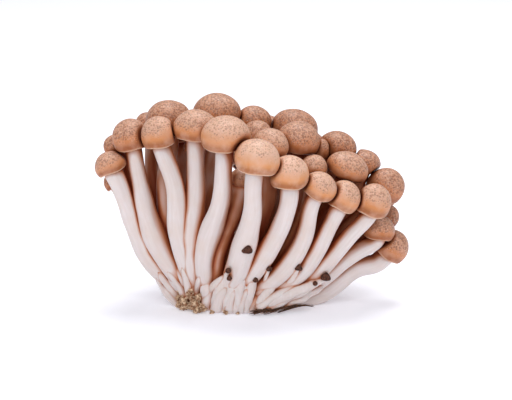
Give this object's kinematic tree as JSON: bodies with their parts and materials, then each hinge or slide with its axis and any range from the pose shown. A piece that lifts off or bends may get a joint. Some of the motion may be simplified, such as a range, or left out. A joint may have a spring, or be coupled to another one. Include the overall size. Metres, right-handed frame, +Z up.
{
  "type": "beech mushroom cluster",
  "caption": "Bunch of brown beech mushrooms: domed speckled caps with gilled undersides on curved pale stems grown together at a trimmed foot.",
  "frame": {"origin": "the middle of the flat trimmed foot, on the surface the bunch stands on", "axes": "+X to the right along the bunch's longest extent, towards its low side; +Y away from the side that the picture shows; +Z up"},
  "size_m": [0.1316, 0.0916, 0.0889],
  "materials": {
    "cap_skin": "satin skin, tan with dark brown specks on the crown and a pale margin",
    "stem_flesh": "matt, creamy white, finely fibrous along the stem",
    "pinhead_skin": "dark brown, dry",
    "bed_crumbs": "tan sawdust crumbs",
    "bed_shreds": "dark brown wood shreds"
  },
  "bodies": {
    "root": {"cap_01": "cap_skin", "cap_02": "cap_skin", "cap_03": "cap_skin", "cap_04": "cap_skin", "cap_05": "cap_skin", "cap_06": "cap_skin", "cap_07": "cap_skin", "cap_08": "cap_skin", "cap_09": "cap_skin", "cap_10": "cap_skin", "cap_11": "cap_skin", "cap_12": "cap_skin", "cap_13": "cap_skin", "cap_14": "cap_skin", "cap_15": "cap_skin", "cap_16": "cap_skin", "cap_17": "cap_skin", "cap_18": "cap_skin", "cap_19": "cap_skin", "cap_20": "cap_skin", "cap_21": "cap_skin", "cap_22": "cap_skin", "cap_23": "cap_skin", "cap_24": "cap_skin", "cap_25": "cap_skin", "cap_26": "cap_skin", "cap_27": "cap_skin", "cap_28": "cap_skin", "cap_29": "cap_skin", "cap_30": "cap_skin", "cap_31": "cap_skin", "cap_32": "cap_skin", "cap_33": "cap_skin", "cap_34": "cap_skin", "cap_35": "cap_skin", "cap_36": "cap_skin", "cap_37": "cap_skin", "cap_38": "cap_skin", "cap_39": "cap_skin", "cap_40": "cap_skin", "cap_41": "cap_skin", "cap_42": "cap_skin", "cap_43": "cap_skin", "cap_44": "cap_skin", "pinhead_01": "pinhead_skin", "pinhead_02": "pinhead_skin", "pinhead_03": "pinhead_skin", "pinhead_04": "pinhead_skin", "pinhead_05": "pinhead_skin", "pinhead_06": "pinhead_skin", "pinhead_07": "pinhead_skin", "pinhead_08": "pinhead_skin", "stems_and_base": "stem_flesh", "bed_crumbs": "bed_crumbs", "bed_shreds": "bed_shreds"}
  },
  "joints": []
}
